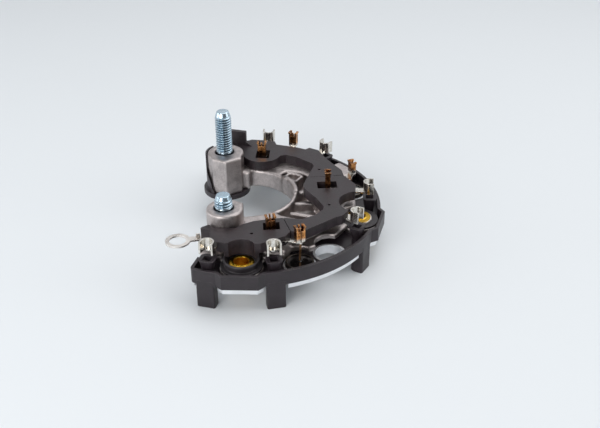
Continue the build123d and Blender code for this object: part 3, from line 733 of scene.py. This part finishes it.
def turned(name, heights, radii, axis, slot, replaced, columns=96, hollow=False, painted_shade=None):
    """Closed surface of revolution about a vertical axis, which stands for a CAD node.

    Row i, column j of the grid lies at height heights[i] (or heights[i, j]), at radius radii[i]
    (or radii[i, j]) and at the angle of column j, in millimetres. The two end rows close on a
    point on the axis, or a hollow piece's last row joins its first. The axis is one point, or one
    for each row. painted_shade is the share of painted shade at each point of the grid, from 0 to
    1, most in the roots of grooves."""
    count = len(heights)
    shape = (count, columns)
    angles = np.linspace(0.0, 2 * pi, columns, endpoint=False)
    radii = np.broadcast_to(np.asarray(radii, float).reshape(count, -1), shape)
    z = np.broadcast_to(np.asarray(heights, float).reshape(count, -1), shape)
    centre = np.broadcast_to(np.asarray(axis, float), (count, 2))
    x = centre[:, :1] + radii * np.cos(angles)
    y = centre[:, 1:] + radii * np.sin(angles)
    points = np.stack([x, y, z], axis=-1).reshape(-1, 3)
    bands = count if hollow else count - 1
    row, column = np.meshgrid(np.arange(bands), np.arange(columns), indexing="ij")
    after, above = (column + 1) % columns, (row + 1) % count
    corner = [row * columns + column, row * columns + after]
    corner += [above * columns + after, above * columns + column]
    faces = np.stack(corner, axis=-1).reshape(-1, 4).tolist()
    if not hollow:
        ends = [(*centre[0], z[0, 0]), (*centre[-1], z[-1, 0])]
        first, last = len(points), len(points) + 1
        points = np.vstack([points, ends])
        step = np.arange(columns)
        after = (step + 1) % columns
        ring = (count - 1) * columns
        faces += np.stack([np.full(columns, first), after, step], axis=-1).tolist()
        faces += np.stack([np.full(columns, last), ring + step, ring + after], axis=-1).tolist()
    mesh = bpy.data.meshes.new(name)
    mesh.from_pydata((points * MM).tolist(), [], faces)
    mesh.polygons.foreach_set("use_smooth", np.ones(len(mesh.polygons), bool))
    mesh.set_sharp_from_angle(angle=sharp_angle)
    mesh.materials.append(finishes[slot])
    if painted_shade is not None:
        depth = np.zeros(len(points))
        depth[: count * columns] = np.broadcast_to(painted_shade, shape).reshape(-1)
        mesh.attributes.new("painted_shade", "FLOAT", "POINT").data.foreach_set("value", depth)
    piece = bpy.data.objects.new(name, mesh)
    bpy.context.scene.collection.objects.link(piece)
    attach(piece, "root")
    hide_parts(replaced)
    return piece


def measure(name):
    """Axis, lowest and highest level of a CAD node, in millimetres."""
    low, high = (np.array(corner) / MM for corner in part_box(name))
    return (low + high)[:2] / 2, low[2], high[2]


# %% [markdown]
# The studs are metric M8: a crest every 1.25 mm. The thread is a wave of the height less the turn's
# share of the pitch, flat at crest and root, and it fades out at both ends of the threaded length.
# Below it are the plain shank, a knurl that holds in the casting, and a flat round head.

# %% Helper: thread
thread_pitch, thread_depth, crest_radius = 1.25, 0.72, 4.0
flank_slope, crest_flat = 1.45, 0.15
stud_columns = 96
stud_angles = np.linspace(0.0, 2 * pi, stud_columns, endpoint=False)


def threaded(heights, low, high):
    """Radius of the thread: the crest less the depth times a wave, 0 at the crest, 1 at the root.

    The wave is a triangle in the height less the angle's share of the pitch, stretched by the
    slope of the flank, lowered by the flat of the crest, and clipped."""
    turn = (heights[:, None] / thread_pitch - stud_angles[None, :] / (2 * pi)) % 1.0
    wave = np.clip(flank_slope * np.abs(2 * turn - 1) - crest_flat, 0.0, 1.0)
    run_in, run_out = (heights - low) / thread_pitch, (high - heights) / thread_pitch
    fade = np.clip(run_in, 0, 1) * np.clip(run_out, 0, 1)
    return crest_radius - thread_depth * wave * fade[:, None]


# %% [markdown]
# A stud's outline has four runs: the plain lower end, the thread, the thread again where a cone
# cuts its crests off, and the rounded tip. The painted shade in the roots is the square of the
# depth.

# %% Threaded studs
head_radius, head_thickness, stud_edge = 6.5, 3.4, 0.4
knurl_teeth, knurl_depth, knurl_length = 36, 0.25, 9.0
knurl_radii = {"long_stud": 4.75, "short_stud": 4.35}
shank_radius, thread_lead_in = 3.6, 0.3
tip_radius, tip_length, tip_rounding = 2.9, 3.2, 0.5
rows_per_turn, cone_steps, tip_steps = 14, 24, 6
plain = np.ones(stud_columns)
knurl_wave = 0.5 + 0.5 * np.cos(knurl_teeth * stud_angles)

boss_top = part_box("positive_heat_sink")[1].z / MM
for name, knurl_radius in knurl_radii.items():
    axis, bottom, top = measure(name)
    head_top = bottom + head_thickness
    thread_low, cone_low = boss_top + thread_lead_in, top - tip_length
    knurl = knurl_radius - knurl_depth * knurl_wave
    lower = [
        (bottom, (head_radius - stud_edge) * plain),
        (bottom + stud_edge, head_radius * plain),
        (head_top - stud_edge, head_radius * plain),
        (head_top, (head_radius - stud_edge) * plain),
        (head_top, knurl),
        (head_top + knurl_length - stud_edge, knurl),
        (head_top + knurl_length, shank_radius * plain),
        (thread_low - stud_edge, shank_radius * plain),
    ]
    turns = (cone_low - thread_low) / thread_pitch
    thread_rows = np.linspace(thread_low, cone_low, int(turns * rows_per_turn) + 2)
    share = np.linspace(0, 1, cone_steps)[1:]
    cone_rows = cone_low + (tip_length - tip_rounding) * share
    thread_high = cone_low + 2 * thread_pitch
    cone = threaded(cone_rows, thread_low, thread_high)
    limit = crest_radius + (tip_radius - crest_radius) * (cone_rows - cone_low) / tip_length
    bend = np.linspace(0, pi / 2, tip_steps)[1:]
    tip_rows = top - tip_rounding * (1 - np.sin(bend))
    tip = limit[-1] - tip_rounding * (1 - np.cos(bend))
    heights = np.concatenate([[row[0] for row in lower], thread_rows, cone_rows, tip_rows])
    radii = np.vstack(
        [
            np.array([row[1] for row in lower]),
            threaded(thread_rows, thread_low, thread_high),
            np.minimum(cone, limit[:, None]),
            tip[:, None] * plain,
        ]
    )
    # Painted shade in the roots of the thread: the square of its depth, on the thread rows alone.
    root_shade = ((crest_radius - radii) / thread_depth) ** 2
    root_shade[: len(lower)] = 0.0
    root_shade[len(lower) + len(thread_rows) :] = 0.0
    piece_name = f"{name}_threaded"
    stud = turned(piece_name, heights, radii, axis, "zinc_steel", name, stud_columns, painted_shade=root_shade)
    print(name, "turns of thread:", round(turns, 1), "faces:", len(stud.data.polygons))

# %% [markdown]
# The hollow rivets are pressed brass tubes with a flange at each end and a rolled bead round the
# top of the bore. The press leaves fine radial flutes on the flange: a wave in the angle that
# lowers the face. The bead is half a circle, carried round. Shade is painted over the flange, most
# in the roots of the flutes, so that the bead stays brighter than the flange.

# %% Helper: outline of a rivet
bore_radius, tube_radius, flange_radius = 3.3, 4.1, 5.6
bead_radius, bead_height, bead_foot, bead_in_cad = 3.8, 0.35, 0.12, 0.4
flange_thickness, top_thickness, flange_edge = 0.8, 0.5, 0.3
# flange_shade_level is the painted shade on the flange between the flutes.
flute_count, flute_depth, flange_shade_level = 54, 0.1, 0.45
flute_start, flute_end, flute_rows = 0.3, 0.4, 4
bend_steps = 9


def rivet_outline(bottom, top):
    """Outline in three runs of (level, radius): bore and bead, the fluted face, and the outside.

    The bead's top is half a circle, of the width between the bore's and the bead's radius."""
    seat = top - flange_thickness - bead_in_cad
    face = seat + top_thickness
    crest = face + bead_height
    bend = np.linspace(0, pi, bend_steps)
    middle, half = (bore_radius + bead_radius) / 2, (bead_radius - bore_radius) / 2
    beaded = [(bottom, bore_radius), (crest - half, bore_radius)]
    beaded += [(crest - half + half * np.sin(b), middle - half * np.cos(b)) for b in bend[1:]]
    beaded += [(face + bead_foot / 4, bead_radius + bead_foot / 6), (face, bead_radius + bead_foot)]
    inner_end, outer_end = bead_radius + flute_start, flange_radius - flute_end
    fluted = [(face, radius) for radius in np.linspace(inner_end, outer_end, flute_rows)]
    outside = [
        (face - flange_edge / 3, flange_radius - flange_edge / 8),
        (face - flange_edge, flange_radius),
        (seat, flange_radius),
        (seat, tube_radius),
        (bottom + flange_thickness, tube_radius),
        (bottom + flange_thickness, flange_radius),
        (bottom + flange_edge, flange_radius),
        (bottom, flange_radius - flange_edge),
    ]
    return beaded, fluted, outside


# %% Fluted rivets
rivet_columns = 324
rivet_angles = np.linspace(0.0, 2 * pi, rivet_columns, endpoint=False)
flute = 0.5 - 0.5 * np.cos(flute_count * rivet_angles)

for phase in phases:
    axis, bottom, top = measure(f"hollow_rivet_{phase}")
    beaded, fluted, outside = rivet_outline(bottom, top)
    levels, radii = np.array(beaded + fluted + outside).T
    heights = levels[:, None] * np.ones(rivet_columns)
    sunk = np.zeros_like(heights)
    sunk[len(beaded) : len(beaded) + len(fluted)] = flute
    # Painted shade: full in the roots of the flutes, the flange level on the rest of the face and
    # outside, none on the bore and bead.
    rivet_shade = np.maximum(sunk, flange_shade_level)
    rivet_shade[: len(beaded)] = 0.0
    turned(
        f"rivet_{phase}_fluted",
        heights - flute_depth * sunk,
        radii,
        axis,
        "brass",
        f"hollow_rivet_{phase}",
        rivet_columns,
        hollow=True,
        painted_shade=rivet_shade,
    )
print("rivets with flutes:", flute_count)

# %% [markdown]
# The near bush keeps the rivet away from the plate: a sleeve in the bore, a flange on the plate,
# and a cup that stands round the rivet's head and widens upwards to a rounded lip. It is one
# outline, carried round.

# %% Cupped bush
lip_outer, lip_inner, lip_rise = 7.95, 6.75, 1.2
foot_outer, foot_inner, foot_fillet, floor_fillet = 7.3, 6.25, 0.3, 0.7
sleeve_outer, sleeve_inner = 5.25, 4.25
sleeve_length, bush_flange, flange_rounding = 2.5, 0.9, 0.15
bush_columns = 128
axis, bottom, top = measure("insulating_bush_near")
low_corner, high_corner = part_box("insulating_bush_near")
reach = (high_corner.x - low_corner.x) / MM / 2
flange_low = bottom + sleeve_length
flange_high = flange_low + bush_flange
lip = top + lip_rise
bend = np.linspace(0, pi, bend_steps)
middle, half = (lip_outer + lip_inner) / 2, (lip_outer - lip_inner) / 2
section = [
    (bottom, sleeve_inner),
    (bottom, sleeve_outer),
    (flange_low, sleeve_outer),
    (flange_low, reach),
    (flange_high - flange_rounding, reach),
    (flange_high, reach - flange_rounding),
    (flange_high, foot_outer + foot_fillet),
    (flange_high + foot_fillet, foot_outer),
    *[(lip - half + half * np.sin(b), middle + half * np.cos(b)) for b in bend],
    (flange_high + floor_fillet, foot_inner),
    (flange_high, foot_inner),
    (flange_high, sleeve_inner),
]
heights, radii = np.array(section).T
turned(
    "bush_near_cupped",
    heights,
    radii,
    axis,
    "bush_plastic",
    "insulating_bush_near",
    bush_columns,
    hollow=True,
)
print("cupped bush: lip at", round(lip, 2), "outer radius of the flange", round(reach, 2))

# %% [markdown]
# ## Press-fit diodes
#
# A press-fit diode is a cup with a knurled wall, pressed into a bore of a heat sink, which then
# carries its current and its heat. The knurl is a wave of the angle that lowers the wall, as on the
# studs, and it stops short of the rim.

# %% Helper: knurled cup
cup_radius, cup_wall, cup_base = 6.35, 0.9, 1.8
cup_taper, cup_taper_height = 0.5, 0.4
cup_teeth, cup_knurl_depth, knurl_run_out = 72, 0.12, 0.1
plain_rim, rim_rounding, inner_rounding = 0.9, 0.15, 0.12
cup_inner = cup_radius - cup_wall
cup_columns = 432
cup_angles = np.linspace(0.0, 2 * pi, cup_columns, endpoint=False)
tooth = 0.5 + 0.5 * np.cos(cup_teeth * cup_angles)
smooth = np.ones(cup_columns)


def knurled_cup(diode, axis, bottom, rim):
    """Cup of a diode. The knurled radius is the cup's less the knurl's depth times the teeth."""
    knurled = cup_radius * smooth - cup_knurl_depth * tooth
    collar = cup_radius - cup_knurl_depth
    rows = [
        (bottom, (cup_radius - cup_taper) * smooth),
        (bottom + cup_taper_height, knurled),
        (rim - plain_rim - knurl_run_out, knurled),
        (rim - plain_rim, collar * smooth),
        (rim - rim_rounding, collar * smooth),
        (rim, (collar - rim_rounding) * smooth),
        (rim, (cup_inner + inner_rounding) * smooth),
        (rim - inner_rounding, cup_inner * smooth),
        (bottom + cup_base, cup_inner * smooth),
    ]
    heights, radii = np.array([row[0] for row in rows]), np.array([row[1] for row in rows])
    # Painted shade in the gaps of the knurl, along the knurled rows.
    root_shade = np.zeros_like(radii)
    root_shade[1:3] = tooth
    name, cup = f"{diode}_knurled", f"{diode}_cup"
    return turned(name, heights, radii, axis, "diode_cup", cup, cup_columns, painted_shade=root_shade)


# %% [markdown]
# Black resin seals the cup, nearly flush with the rim. While liquid it settles into a low dome and
# climbs the lead a little. The dome falls off as a power of the way to the wall, and the climb as
# an exponential of the distance from the lead. The foot of the lead stands in a hollow of the
# resin.

# %% Helper: resin
wire_radius, foot_radius, foot_height, foot_edge = 0.46, 1.6, 0.5, 0.1
seal_drop, seal_room, wire_room = 0.1, 0.02, 0.05
dome_height, dome_power = 0.12, 4
meniscus_reach, meniscus_height = 0.4, 0.45
seal_steps, seal_columns = 26, 96


def seal(diode, axis, bottom, rim):
    """Resin of a diode. Its top is the dome's height times one less a power of the share of the
    radius, plus the meniscus: an exponential of the distance from the wire."""
    reach = np.linspace(cup_inner - seal_room, wire_radius + wire_room, seal_steps)
    dome = dome_height * (1 - (reach / cup_inner) ** dome_power)
    meniscus = meniscus_height * np.exp(-(reach - wire_radius) / meniscus_reach)
    crown = rim - seal_drop + dome + meniscus
    floor_level = bottom + cup_base + seal_room
    section = [
        (floor_level, foot_radius + seal_room),
        (floor_level, cup_inner - seal_room),
        *zip(crown, reach),
        (floor_level + foot_height, wire_radius + wire_room),
        (floor_level + foot_height, foot_radius + seal_room),
    ]
    heights, radii = np.array(section).T
    name, resin = f"{diode}_sealed", f"{diode}_resin"
    return turned(name, heights, radii, axis, "diode_resin", resin, seal_columns, hollow=True)


# %% [markdown]
# The lead is a thin copper wire on a wide foot. It was bent slightly when its end was pinched in
# the crimp, so its axis is a soft bow, and each lead bows another way.

# %% Helper: bowed lead
bow, bow_turn = 0.35, 2.4
wire_steps, wire_columns = 40, 32


def bowed_lead(diode, axis, rim, turn):
    """Lead of a diode. Its axis leaves the cup's by the bow times the square of a sine, which is
    zero at the rim and at the top, in the direction of the turn."""
    lead = f"{diode}_lead"
    low_end, high_end = measure(lead)[1:]
    along = np.linspace(0, 1, wire_steps)
    levels = low_end + foot_height + (high_end - low_end - foot_height) * along
    sweep = bow * np.sin(pi * np.clip((levels - rim) / (high_end - rim), 0, 1)) ** 2
    path = np.array(axis) + sweep[:, None] * np.array([np.cos(turn), np.sin(turn)])
    foot = [low_end, low_end, low_end + foot_height]
    foot_radii = [foot_radius - foot_edge, foot_radius, foot_radius]
    heights = np.concatenate([foot, levels])
    radii = np.concatenate([foot_radii, np.full(len(levels), wire_radius)])
    path = np.vstack([np.tile(axis, (len(foot), 1)), path])
    return turned(f"{diode}_wire", heights, radii, path, "diode_lead", lead, wire_columns)


# %% Six diodes
for number, lead_name in enumerate(lead_names):
    diode = lead_name.removesuffix("_lead")
    axis, bottom, rim = measure(f"{diode}_cup")
    knurled_cup(diode, axis, bottom, rim)
    seal(diode, axis, bottom, rim)
    bowed_lead(diode, axis, rim, bow_turn * number)
print("diodes:", len(lead_names))
